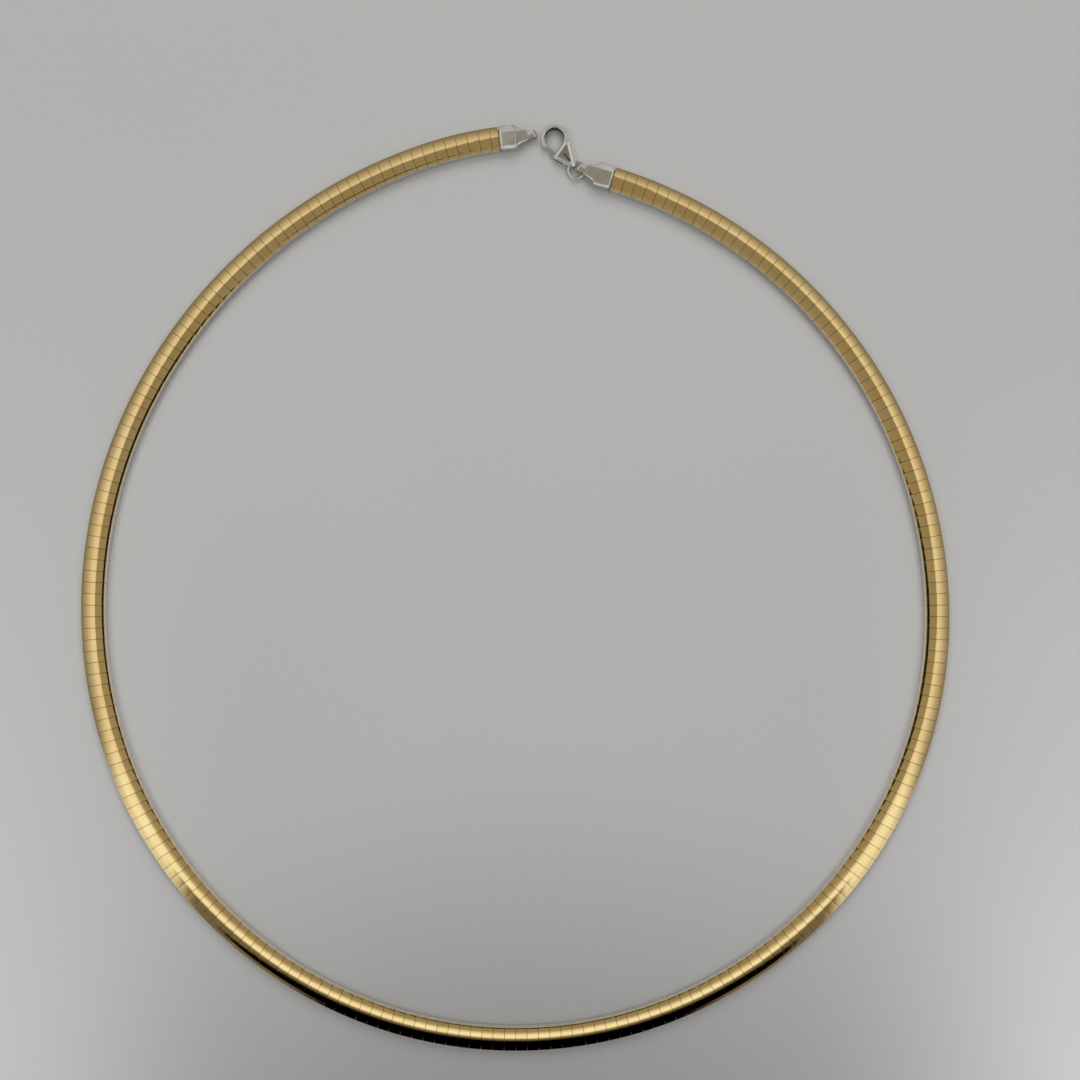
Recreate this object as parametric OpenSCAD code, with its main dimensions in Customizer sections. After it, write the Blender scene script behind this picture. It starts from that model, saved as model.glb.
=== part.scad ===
// Flat omega collar necklace with a lobster clasp, laid open on a table.
// Millimetres, +Z up. The origin is the middle of the necklace's box, on the table.

/* [Band] */
// Width of the plates across the band
band_w = 3.7; // [3.6:0.1:5]
// Height of the crest over the table
band_h = 1.75; // [1.7:0.05:2.4]
// Radius of the low dome on top of a plate
dome_r = 4.2; // [3:0.1:8]
// Radius of the shoulders between the dome and the upright sides
shoulder_r = 0.35; // [0.35:0.05:0.6]
// Rounding where a plate folds under the band
fold_r = 0.35; // [0.35:0.05:0.5]
// Thickness of the plates' sheet
sheet = 0.25; // [0.15:0.05:0.25]
// Number of plates
plate_count = 227; // [100:1:240]
// Share of the first plate that shows beside the free end's cap
first_show = 0.7; // [0.3:0.1:1]
// Gap between two plates at the middle of the band
plate_gap = 0.16; // [0.15:0.01:0.3]
// Width left open between a plate's two folded edges, under the core
seam_w = 1.3; // [0.6:0.1:1.8]

/* [Woven core] */
// Width of the flat woven core
core_w = 2.9; // [1:0.1:2.9]
// Thickness of the core
core_t = 0.9; // [0.6:0.1:0.9]
// Space between the core and the plates round it
core_gap = 0.12; // [0.08:0.01:0.14]
// Length of core held inside each end cap
core_tail = 1.2; // [0.5:0.1:2]

/* [End caps] */
// Length of a cap's full-width part
cap_len = 2.9; // [2.6:0.1:4]
// Length over which a cap narrows to its tongue
neck_len = 1.3; // [1:0.1:1.6]
// Width of the tongue where it leaves the neck
tongue_root_w = 1.9; // [1.4:0.1:2.2]
// Width of the tongue where it is rolled into a loop
tongue_w = 1.2; // [1:0.02:1.2]
// Distance from the band to the loop's far end
tongue_reach = 6.2; // [6.1:0.1:8]
// Thickness of the caps' sheet
cap_sheet = 0.28; // [0.2:0.02:0.32]
// Sideways turn of the free end's rolled loop, out from the neck
free_loop_turn = 16; // [0:1:20]
// Sideways turn of the rolled loop that holds the ring
ring_loop_turn = 12; // [0:1:12]
// Sideways turn of the free end's cap, in towards the neck
cap_turn = 1.8; // [0:0.2:4]

/* [Jump ring] */
// Radius of the ring at the middle of its wire
ring_r = 1.32; // [1.32:0.01:1.4]
// Diameter of the ring's wire
ring_wire = 0.4; // [0.3:0.02:0.4]

/* [Clasp] */
// Radius of the hook's round opening
hook_r = 1.5; // [1.2:0.05:1.8]
// Width of the hook seen from above
hook_w = 0.7; // [0.5:0.05:0.8]
// Thickness of the clasp's body
clasp_t = 1.3; // [1.2:0.05:1.6]
// Thickness of the lever
lever_t = 0.46; // [0.4:0.02:0.5]
// Diameter of the lever's pin
pin_d = 0.36; // [0.3:0.02:0.4]

/* [Hidden] */
$fn = 96;

gold = [0.80, 0.64, 0.36];
gold_weave = [0.62, 0.48, 0.25];
white_gold = [0.78, 0.78, 0.75];

// The band's middle line is a chain of arcs that run into each other, a row each.
ARC_LEN = 0;
ARC_R = 1;
arcs = [
    // length, radius
    [12.0, 60],
    [57.8, 79],
    [55.0, 73],
    [196.0, 67],
    [91.0, 73]
];
// Where the gold starts beside the left cap: x, y and the heading into the band
band_start = [-2.64, 71.23, 187.34];

function turned(run, radius) = run / radius * 180 / PI;
function arc_centre(at, radius) = [at[0] - radius * sin(at[2]), at[1] + radius * cos(at[2])];
// The place and heading after a run along one arc to the left
function onward(at, run, radius) =
    let (to = at[2] + turned(run, radius), c = arc_centre(at, radius))
    [c[0] + radius * sin(to), c[1] - radius * cos(to), to];
function arc_start(i) = i == 0 ? band_start : onward(arc_start(i - 1), arcs[i - 1][ARC_LEN], arcs[i - 1][ARC_R]);
function arc_from(i) = i == 0 ? 0 : arc_from(i - 1) + arcs[i - 1][ARC_LEN];
function arc_at(s, i = 0) = i == len(arcs) - 1 || s < arc_from(i + 1) ? i : arc_at(s, i + 1);
// The place and heading at the length s along the band
function along(s) = let (i = arc_at(s)) onward(arc_start(i), s - arc_from(i), arcs[i][ARC_R]);

band_len = arc_from(len(arcs));
band_end = along(band_len);

// The first plate is part hidden in the free end's cap, and the others show whole.
pitch = band_len / (plate_count - 1 + first_show);
function plate_from(i) = i == 0 ? 0 : (i - 1 + first_show) * pitch;
function plate_run(i) = plate_from(i + 1) - plate_from(i);

// A point given along and across a direction, carried to a place
function carried(from, heading, p) =
    [from[0] + p[0] * cos(heading) - p[1] * sin(heading), from[1] + p[0] * sin(heading) + p[1] * cos(heading)];

// The dome touches the crest and runs into both shoulders, which run into the upright sides.
fold_x = band_w / 2 - fold_r;
dome_z = band_h - dome_r;
shoulder_x = band_w / 2 - shoulder_r;
shoulder_z = dome_z + sqrt((dome_r - shoulder_r) * (dome_r - shoulder_r) - shoulder_x * shoulder_x);

// The core's section: flat below and on top, with corners that follow the dome from inside
core_r = dome_r - sheet - core_gap;
core_z = sheet + core_gap;
corner_from = acos(core_w / 2 / core_r);
corner_to = asin((core_z + core_t - dome_z) / core_r);
corner = [for (i = [0 : 2]) corner_from + i / 2 * (corner_to - corner_from)];
core_section = concat(
    [[-core_w / 2, core_z], [core_w / 2, core_z]],
    [for (i = [0 : 2]) [core_r * cos(corner[i]), dome_z + core_r * sin(corner[i])]],
    [for (i = [2 : -1 : 0]) [-core_r * cos(corner[i]), dome_z + core_r * sin(corner[i])]]
);
core_step = 4;

// The caps' loops are the ends of their tongues, rolled into flat eyes.
loop_out = 0.6;
loop_in = loop_out - cap_sheet;
loop_z = loop_out;
loop_top = loop_z + loop_out;
loop_len = 0.9;
cup_len = cap_len - 0.6;
neck_end = cap_len + neck_len;
// The neck's hollow sides have a few flat steps.
neck_steps = 12;
// Where a cap's crest falls to the tongue, and where its underside rises to it, along the cap
crest_fall = [cap_len - 0.3, neck_end - 0.2];
sole_rise = [cap_len, cap_len + 0.5];
loop_start = tongue_reach - loop_out - loop_len;

// The ring's middle, from the right cap's joint with the band, and from the hook's middle
ring_in_cap = [6.0, 0.15];
ring_in_clasp = [6.08, 0.16];
clasp_turn = -56;
ring_at = carried(band_end, band_end[2], ring_in_cap);
hook_at = carried(ring_at, clasp_turn, -ring_in_clasp);

// Corners of the clasp's body in its own plane, from the hook's middle, +X to the jump ring
body_corners = [[1.65, 1.4], [2.55, -1.45], [5.1, -0.1], [5.1, 0.2]];
body_edge = 0.4;
// The sunk face on top of the body, and the slot through it that the lever turns in
well_corners = [[1.95, 1.0], [2.75, -1.1], [4.45, -0.2], [4.4, 0.1]];
well_edge = 0.1;
well_depth = 0.12;
slot_corners = [[1, 1.22], [4.05, 0.05], [4.05, -1.5], [2.4, -2.6], [1, -2.6]];
slot_t = lever_t + 0.08;
// The fine slit for the spring, from the pin towards the bail
slit = [1.25, 0.14];
slit_turn = 6;
slit_depth = 0.22;
bail_x = 4.86;
bail_r = 0.38;
// The hook runs round its opening from its root to its tip, clear of the table.
hook_root = 20;
hook_tip = 276;
hook_lift = 0.05;
// The tip is a touch thicker than the hook.
tip_r = hook_w / 2 + 0.02;
// The lever: its pin, its bend, the end of its gate and the nose that meets the hook
pin_at = [3.25, -0.16];
pin_inset = 0.1;
elbow = [2.3, -1.45];
gate_end = [0.9, -1.62];
nose = [0.6, -1.38];
eye_r = 0.42;
arm_r = 0.28;
gate_r = 0.3;
nose_r = 0.12;

fit = 0.02;
eps = 0.01;

// Carries a section drawn across the band to the length s, its X outward and its Y up.
module across(s) {
    at = along(s);
    translate([at[0], at[1], 0]) rotate([90, 0, at[2] - 90]) children();
}

// The band's section, drawn a distance inset inside its outside: a low dome on upright sides.
module dome_section(inset) {
    side_x = band_w / 2 - inset;
    side_h = shoulder_z - fold_r;
    far = [2 * shoulder_x, 2 * shoulder_z - dome_z];
    intersection() {
        translate([0, dome_z]) circle(dome_r - inset);
        polygon([[-shoulder_x, shoulder_z - side_h / 3], [shoulder_x, shoulder_z - side_h / 3],
                 [shoulder_x, shoulder_z], far, [-far[0], far[1]], [-shoulder_x, shoulder_z]]);
    }
    translate([-side_x, fold_r]) square([2 * side_x, side_h]);
    translate([-fold_x, inset]) square([2 * fold_x, fold_r + side_h / 3 - inset]);
    for (side = [-1, 1]) {
        translate([side * shoulder_x, shoulder_z]) circle(shoulder_r - inset);
        translate([side * fold_x, fold_r]) circle(fold_r - inset);
    }
}

module plate_section() {
    difference() {
        dome_section(0);
        dome_section(sheet);
        translate([-seam_w / 2, -eps]) square([seam_w, sheet + 2 * eps]);
    }
}

// A straight strip with round ends, and a corner shape grown by a radius
module strip(from, to, r) {
    run = norm(to - from);
    translate(from) rotate(atan2(to[1] - from[1], to[0] - from[0])) translate([0, -r]) square([run, 2 * r]);
    translate(from) circle(r);
    translate(to) circle(r);
}

module grown(corners, r) {
    polygon(corners);
    for (i = [0 : len(corners) - 1]) strip(corners[i], corners[(i + 1) % len(corners)], r);
}

module band_plates() {
    color(gold)
    for (i = [0 : plate_count - 1])
        across(plate_from(i) + plate_run(i) / 2)
        translate([0, 0, -(plate_run(i) - plate_gap) / 2])
        linear_extrude(plate_run(i) - plate_gap) plate_section();
}

// The core is one sweep of its section along the band, with its ends inside the caps.
module core_band() {
    run = band_len + 2 * core_tail;
    rings = round(run / core_step);
    size = len(core_section);
    points = [for (k = [0 : rings]) let (at = along(k / rings * run - core_tail)) for (p = core_section)
              [at[0] + p[0] * sin(at[2]), at[1] - p[0] * cos(at[2]), p[1]]];
    sides = [for (k = [0 : rings - 1]) for (j = [0 : size - 1]) let (a = k * size, b = (j + 1) % size)
             [a + j, a + b, a + b + size, a + j + size]];
    ends = [[for (j = [size - 1 : -1 : 0]) j], [for (j = [0 : size - 1]) rings * size + j]];
    color(gold_weave) polyhedron(points, concat(sides, ends));
}

// A cap runs along +X from the band's end. Its plan, its side and its section meet in one solid.
module cap_plan() {
    neck_y = tongue_root_w / 2 + neck_len;
    difference() {
        translate([plate_gap, -neck_y]) square([neck_end - plate_gap, 2 * neck_y]);
        for (side = [-1, 1]) translate([neck_end, side * neck_y]) circle(neck_len, $fn = neck_steps);
    }
    polygon([[neck_end - eps, -tongue_root_w / 2], [loop_start, -tongue_w / 2],
             [loop_start, tongue_w / 2], [neck_end - eps, tongue_root_w / 2]]);
}

// From the side the crest falls to the tongue, and the underside rises to it.
module cap_side() {
    polygon([[0, -band_h], [sole_rise[0], -band_h], [sole_rise[0], 0], [sole_rise[1], loop_top - cap_sheet],
             [loop_start, loop_top - cap_sheet], [loop_start, loop_top], [crest_fall[1], loop_top],
             [crest_fall[0], band_h], [crest_fall[0], 2 * band_h], [0, 2 * band_h]]);
}

module end_cap(turn) {
    difference() {
        intersection() {
            translate([0, 0, -band_h]) linear_extrude(3 * band_h) cap_plan();
            translate([0, band_w, 0]) rotate([90, 0, 0]) linear_extrude(2 * band_w) cap_side();
            rotate([90, 0, 90]) linear_extrude(tongue_reach) dome_section(0);
        }
        rotate([90, 0, 90]) linear_extrude(cup_len) dome_section(cap_sheet);
    }
    translate([loop_start, 0, loop_z]) rotate(turn) rotate([90, 0, 0])
    translate([0, 0, -tongue_w / 2])
    linear_extrude(tongue_w)
    difference() {
        strip([0, 0], [loop_len, 0], loop_out);
        strip([0, 0], [loop_len, 0], loop_in);
    }
}

module end_cap_left() {
    color(white_gold)
    translate([band_start[0], band_start[1], 0]) rotate(band_start[2] - 180 - cap_turn)
    end_cap(free_loop_turn);
}

module end_cap_right() {
    color(white_gold)
    translate([band_end[0], band_end[1], 0]) rotate(band_end[2])
    end_cap(-ring_loop_turn);
}

module jump_ring() {
    color(white_gold)
    translate([ring_at[0], ring_at[1], loop_z])
    rotate_extrude() translate([ring_r, 0]) circle(ring_wire / 2, $fn = 48);
}

module in_clasp() {
    translate([hook_at[0], hook_at[1], 0]) rotate(clasp_turn) children();
}

// The hook is a tall rounded section carried round its opening, with a round tip.
module hook() {
    mid_r = hook_r + hook_w / 2;
    rise = clasp_t - 2 * hook_lift - hook_w;
    translate([0, 0, hook_lift + hook_w / 2]) {
        rotate(hook_root) rotate_extrude(angle = hook_tip - hook_root)
        translate([mid_r, 0]) {
            circle(hook_w / 2);
            translate([-hook_w / 2, 0]) square([hook_w, rise]);
            translate([0, rise]) circle(hook_w / 2);
        }
        translate([mid_r * cos(hook_tip), mid_r * sin(hook_tip), 0]) {
            sphere(tip_r);
            cylinder(rise, r = tip_r);
            translate([0, 0, rise]) sphere(tip_r);
        }
    }
}

module clasp_body() {
    color(white_gold)
    in_clasp() {
        difference() {
            linear_extrude(clasp_t) grown(body_corners, body_edge);
            translate([0, 0, (clasp_t - slot_t) / 2]) linear_extrude(slot_t) polygon(slot_corners);
            translate([0, 0, clasp_t - well_depth]) linear_extrude(clasp_t) grown(well_corners, well_edge);
            translate([pin_at[0], pin_at[1], -eps]) cylinder(2 * clasp_t, d = pin_d + fit);
            translate([pin_at[0], pin_at[1], clasp_t - slit_depth]) rotate(slit_turn)
            translate([0, -slit[1] / 2, 0]) cube([slit[0], slit[1], clasp_t]);
            translate([bail_x, clasp_t, loop_z]) rotate([90, 0, 0]) cylinder(2 * clasp_t, r = bail_r);
        }
        hook();
    }
}

module clasp_lever() {
    color(white_gold)
    in_clasp()
    translate([0, 0, (clasp_t - lever_t) / 2])
    linear_extrude(lever_t)
    difference() {
        union() {
            translate(pin_at) circle(eye_r);
            strip(pin_at, elbow, arm_r);
            strip(elbow, gate_end, gate_r);
            strip(gate_end, nose, nose_r);
        }
        translate(pin_at) circle(d = pin_d + 2 * fit);
    }
}

module clasp_pin() {
    color(white_gold)
    in_clasp()
    translate([pin_at[0], pin_at[1], pin_inset]) cylinder(clasp_t - well_depth - 2 * pin_inset, d = pin_d);
}

band_plates();
core_band();
end_cap_left();
end_cap_right();
jump_ring();
clasp_body();
clasp_lever();
clasp_pin();
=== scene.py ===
"""Looks of a flat omega collar necklace with a lobster clasp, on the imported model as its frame."""
import math

import bpy
import numpy as np
from bpy.props import FloatProperty, FloatVectorProperty, IntProperty, PointerProperty
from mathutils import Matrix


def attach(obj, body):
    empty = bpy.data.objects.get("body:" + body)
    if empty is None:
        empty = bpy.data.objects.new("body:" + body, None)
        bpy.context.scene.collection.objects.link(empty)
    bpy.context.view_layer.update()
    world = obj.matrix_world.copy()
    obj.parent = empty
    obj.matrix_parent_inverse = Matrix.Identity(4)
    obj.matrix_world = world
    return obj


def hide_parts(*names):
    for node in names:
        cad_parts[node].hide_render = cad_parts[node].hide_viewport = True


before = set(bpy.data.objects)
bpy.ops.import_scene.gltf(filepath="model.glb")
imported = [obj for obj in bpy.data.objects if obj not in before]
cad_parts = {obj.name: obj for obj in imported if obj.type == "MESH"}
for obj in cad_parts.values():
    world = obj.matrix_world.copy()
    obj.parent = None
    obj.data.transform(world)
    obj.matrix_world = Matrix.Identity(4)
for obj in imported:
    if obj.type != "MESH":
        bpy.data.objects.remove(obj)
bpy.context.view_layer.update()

bl_info = {
    "name": "Omega collar",
    "version": (1, 0, 0),
    "blender": (4, 5, 0),
    "location": "3D View > Sidebar > Collar",
    "description": "Builds a flat omega collar of plates on a woven core, with its caps, ring and clasp",
    "category": "Mesh",
}

MM = 0.001

# The solids' own sizes, in millimetres
BAND_W, BAND_H = 3.7, 1.75
DOME_R, SHOULDER_R, FOLD_R = 4.2, 0.35, 0.35
SHEET, SEAM_W = 0.25, 1.3
# The plates' polished shoulders are crisper than the solids'.
PLATE_EDGE_R = 0.11
PLATES, FIRST_SHOW = 227, 0.7
# The plates' map: the surface length at the crest, and how far from it the upright side and the fold under it start,
# where a painted highlight and a painted contact shadow go
GIRTH_MIDDLE, SIDE_GIRTH, FOLD_GIRTH = 4.0, (1.86, 1.94), (2.9, 3.1)
CORE_W, CORE_T, CORE_GAP, CORE_TAIL = 2.9, 0.9, 0.12, 1.2
# Half the step from one of the core's wires to the next
WIRE_STEP = 0.22
# The band's middle line: length and radius of each arc, and where the first one starts
ARCS = np.array([[12.0, 60.0], [57.8, 79.0], [55.0, 73.0], [196.0, 67.0], [91.0, 73.0]])
BAND_START = (-2.64, 71.23, math.radians(187.34))
BAND_LEN = float(ARCS[:, 0].sum())
# Edges that turn by more than this stay sharp, in degrees
SHARP_FROM = 35.0

# Half sizes of the table and of the room that the metal mirrors, and the heights of its ceiling and its dark ovals
TABLE_HALF, ROOM_HALF, CEILING, DARK_HEIGHT = 3000.0, 640.0, 182.0, 100.0
# The dark ovals: middle, half sizes and turn in degrees
DARK_SHAPES = [((-20.0, -2.0), 9.5, 19.5, 0.0), ((20.0, -12.5), 11.5, 10.5, 0.0), ((-1.0, -25.0), 7.0, 4.5, 0.0),
               ((-8.0, 31.0), 11.0, 3.5, 24.0)]
# The ceiling's middling patch, circles that run into each other: middle and how much smaller than the patch's radius
PATCH_CIRCLES = [(-2.0, 30.0, 0.0), (13.0, 127.0, 64.0), (24.0, 22.0, 7.5), (-2.0, 0.0, 7.5)]
PATCH_R = (92.0, 99.0)
# The place under the camera, and the brightest level of the table's painted light and shade
CAMERA_FOOT = (4.0, 7.5)
TABLE_MOST = 1.6

NECK_LEN, CUP_LEN, CAP_SHEET, CAP_FACE = 1.3, 2.3, 0.28, 0.16
# The caps' polished outside: width and tilt of the facet at each side, the corners' radii, and where the
# crest falls by how much from the left and the right cap's body to its eye
OUTER_FACET, INNER_FACET = (1.05, math.radians(6)), (0.5, math.radians(29))
CAP_ROUNDS = np.array([0.3, 0.12, 0.3, 0.1, 0.1, 0.3])
LEFT_CREST = [[2.65, 2.7, 2.8, 2.85, 4.5, 4.55, 4.7], [0.0, 0.004, 0.03, 0.1, 0.16, 0.47, 0.475]]
RIGHT_CREST = [[2.7, 3.0, 4.5, 4.55, 4.7], [0.0, 0.01, 0.1, 0.47, 0.475]]
# Where and how far the necks' underside rises, and how far the line where the crest starts to fall bows
NECK_RISE, NECK_LIFT, CREST_BOW = (2.85, 3.5), 0.9, 0.32
TONGUE_ROOT, TONGUE_END = 0.95, 0.6
NECK_END, LOOP_START = 4.2, 4.7
LOOP_Z, LOOP_MID, LOOP_LEN = 0.6, 0.46, 0.9
FREE_LOOP_TURN, RING_LOOP_TURN, CAP_TURN = 16.0, 12.0, 1.8

RING_R, RING_WIRE = 1.32, 0.4
RING_IN_CAP, RING_IN_CLASP = (6.0, 0.15), (6.08, 0.16)
CLASP_TURN = math.radians(-56)
CLASP_T, HOOK_R, HOOK_W, HOOK_LIFT = 1.3, 1.5, 0.7, 0.05
HOOK_ROOT, HOOK_TIP, HOOK_ROUND = 20.0, 276.0, 0.24
BODY_CORNERS = [[1.65, 1.4], [2.55, -1.45], [5.1, -0.1], [5.1, 0.2]]
# How far the body's outline grows from its corners, and the roundings of its lower edge and its rim
BODY_EDGE, BODY_ROUNDS = 0.4, (0.22, 0.34)
WELL_CORNERS = [[1.95, 1.0], [2.75, -1.1], [4.45, -0.2], [4.4, 0.1]]
WELL_EDGE, WELL_DEPTH = 0.1, 0.12
SLOT_CORNERS = [[1, 1.22], [4.05, 0.05], [4.05, -1.5], [2.4, -2.6], [1, -2.6]]
SLIT, SLIT_TURN, SLIT_DEPTH = (1.3, 0.2), 6.0, 0.4
BAIL_X, BAIL_R = 4.86, 0.38
PIN_AT, PIN_D, PIN_INSET, PIN_DOME = (3.25, -0.16), 0.36, 0.1, 0.07
LEVER_T, LEVER_ROUND = 0.46, 0.12
# The lever's line: its knots, and from which to which share of each run it has how many points
LEVER_LINE = [[3.25, -0.16], [2.3, -1.45], [0.9, -1.62], [0.6, -1.38]]
LEVER_SPANS = [(-0.26, 0.82, 16), (0.1, 0.9, 16), (0.1, 1.2, 8)]
# The lever's half width at shares of its length
LEVER_WIDTHS = [[0, 0.02, 0.06, 0.12, 0.22, 0.38, 0.46, 0.72, 0.86, 0.95, 0.985, 1],
                [0.1, 0.27, 0.38, 0.42, 0.30, 0.27, 0.29, 0.28, 0.22, 0.13, 0.09, 0.03]]
# How much painted shade darkens the sunk face, the hook's and the ring's inner walls, the pin and the lever
SUNK_PAINTED_SHADE, WALL_PAINTED_SHADE, PIN_PAINTED_SHADE, LEVER_PAINTED_SHADE = 0.48, 0.95, 0.9, 0.3


class CollarSizes(bpy.types.PropertyGroup):
    plate_gap: FloatProperty(
        name="Plate gap", description="Gap between two plates at the middle of the band",
        default=0.035 * MM, min=0.01 * MM, max=0.2 * MM, subtype="DISTANCE")
    plate_crown: FloatProperty(
        name="Plate crown", description="How far a plate's ends fall below its middle",
        default=0.004 * MM, min=0.0, max=0.05 * MM, subtype="DISTANCE")
    plate_roll: FloatProperty(
        name="Plate roll", description="Largest small turn of a plate about the band",
        default=math.radians(0.25), min=0.0, max=math.radians(2), subtype="ANGLE")
    section_steps: IntProperty(
        name="Cap steps", description="Steps round each corner of a cap's section",
        default=6, min=3, max=12)
    gold: FloatVectorProperty(
        name="Gold", description="Colour of the polished plates", subtype="COLOR",
        default=(0.95, 0.71, 0.335), min=0.0, max=1.0)
    gold_weave: FloatVectorProperty(
        name="Woven gold", description="Colour of the core's wires", subtype="COLOR",
        default=(0.62, 0.44, 0.19), min=0.0, max=1.0)
    white_metal: FloatVectorProperty(
        name="White metal", description="Colour of the polished caps",
        subtype="COLOR", default=(0.74, 0.725, 0.68), min=0.0, max=1.0)
    white_cast: FloatVectorProperty(
        name="Cast metal", description="Colour of the duller clasp and ring",
        subtype="COLOR", default=(0.93, 0.92, 0.88), min=0.0, max=1.0)


class StageSizes(bpy.types.PropertyGroup):
    camera_at: FloatVectorProperty(
        name="Camera", description="Where the camera stands over the table",
        default=(3.926 * MM, 7.483 * MM, 180 * MM), subtype="TRANSLATION")
    lens: FloatProperty(
        name="Lens", description="Focal length in millimetres on a 36 mm sensor",
        default=37.53, min=20, max=85)
    floor: FloatVectorProperty(
        name="Table", description="Colour of the pale table", subtype="COLOR",
        default=(0.655, 0.651, 0.641), min=0.0, max=1.0)
    bright: FloatProperty(
        name="Bright walls", description="Brightness of the bright panels that the metal mirrors",
        default=0.80, min=0.0, max=5.0)
    back_light: FloatProperty(
        name="Back light", description="Power of the soft light behind the necklace",
        default=1.0, min=0.0, max=50.0, unit="POWER")
    side_light: FloatProperty(
        name="Side lights", description="Power of the soft light at each side",
        default=0.3, min=0.0, max=50.0, unit="POWER")
    ambient: FloatProperty(
        name="Ambient", description="Brightness of the light from all round",
        default=0.32, min=0.0, max=5.0)


# Shapes

def rays(angle):
    """Flat directions of length one at these angles."""
    return np.stack([np.cos(angle), np.sin(angle)], -1)


def aside(heading):
    """Flat directions out of the band's curve at these headings."""
    return np.stack([np.sin(heading), -np.cos(heading)], -1)


def lengths(line):
    """How far along a line of points each of them is."""
    return np.concatenate([[0], np.cumsum(np.linalg.norm(np.diff(line, axis=0), axis=1))])


def eased(x, start, end):
    """From 0 at start to 1 at end, level at both."""
    share = np.clip((x - start) / (end - start), 0, 1)
    return share * share * (3 - 2 * share)


def turned(points, angle):
    """Points turned by an angle about the upright axis."""
    c, s = math.cos(angle), math.sin(angle)
    return points @ np.array([[c, s, 0], [-s, c, 0], [0, 0, 1.0]])


def moved(points, at, angle):
    """Points turned about the upright axis, then carried to a place on the table."""
    return turned(points, angle) + np.array([at[0], at[1], 0.0])


def at_height(outline, height):
    """A flat outline as a loop of points at one height."""
    return np.concatenate([outline, np.full((len(outline), 1), height)], 1)


def disc(at, radius, steps=24):
    """A circle's points round a place."""
    return np.array(at) + radius * rays(np.arange(steps) * math.tau / steps)


def corner_turns(outline):
    """At each corner of an outline, the outward angle of the edge before it and the turn to that of the next."""
    edge = np.roll(outline, -1, -2) - outline
    after = np.arctan2(-edge[..., 0], edge[..., 1])
    before = np.roll(after, 1, -1)
    return before, np.mod(after - before, math.tau)


def cells(grid):
    """The four corners of each cell of a grid of numbers or points."""
    corners = np.stack([grid[:-1, :-1], grid[:-1, 1:], grid[1:, 1:], grid[1:, :-1]], 2)
    return corners.reshape(-1, 4, *grid.shape[2:])


def loft(loops, closed=False):
    """Quads between loops of points that follow each other, with one face over each open end."""
    count, size = loops.shape[:2]
    index = np.arange(count * size).reshape(count, size)
    faces = [cells(np.pad(index, ((0, int(closed)), (0, 1)), "wrap"))]
    if not closed:
        faces.append(np.stack([index[0][::-1], index[-1]]))
    return loops.reshape(-1, 3), faces


def prism(outline, low, high):
    """A flat outline carried straight up from one height to another."""
    return loft(np.stack([at_height(outline, low), at_height(outline, high)]))


def swept(line, side, reach, up):
    """Loops of an upright section carried along a flat line: its reach to the side and its heights at each point."""
    x, y = (line[:, i, None] + reach * side[:, i, None] for i in (0, 1))
    return np.stack(np.broadcast_arrays(x, y, up), -1)


def outward(points, faces):
    """True if the faces point out of the solid: six times its volume, a sum over triangle fans, is positive."""
    return sum(np.sum(p[:, :1] * np.cross(p[:, 1:-1], p[:, 2:])) for p in (points[f] for f in faces)) > 0


def joined(first, second):
    """Two shapes as one, with the faces of both pointing out: the second's face numbers follow the first's points."""
    groups = {}
    for (points, faces), shift in ((first, 0), (second, len(first[0]))):
        way = 1 if outward(points, faces) else -1
        for f in faces:
            groups.setdefault(f.shape[1], []).append(f[:, ::way] + shift)
    return np.concatenate([first[0], second[0]]), [np.concatenate(g) for g in groups.values()]


def places(run):
    """Points of the middle line at the lengths run: each arc is a centre plus its radius at the heading there.

    Returns the points, the headings and the radii."""
    run = np.asarray(run, float)
    starts = np.concatenate([[0.0], np.cumsum(ARCS[:-1, 0])])
    headings = BAND_START[2] + np.concatenate([[0.0], np.cumsum(ARCS[:-1, 0] / ARCS[:-1, 1])])
    out = aside(headings)
    steps = ARCS[:-1, 1, None] * (out[1:] - out[:-1])
    points = np.concatenate([[BAND_START[:2]], BAND_START[:2] + np.cumsum(steps, 0)])
    arc = np.clip(np.searchsorted(starts, run, side="right") - 1, 0, len(ARCS) - 1)
    radius = ARCS[arc, 1]
    centre = points[arc] - radius[:, None] * out[arc]
    heading = headings[arc] + (run - starts[arc]) / radius
    return centre + radius[:, None] * aside(heading), heading, radius


def ring_centre():
    """The jump ring's middle, a short way along the right cap from the band's end."""
    at, heading, _ = places([BAND_LEN])
    return moved([*RING_IN_CAP, 0.0], at[0], heading[0])


def hook_centre():
    """The middle of the hook's opening, back from the ring along the clasp."""
    return moved([-RING_IN_CLASP[0], -RING_IN_CLASP[1], 0.0], ring_centre(), CLASP_TURN)


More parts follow.
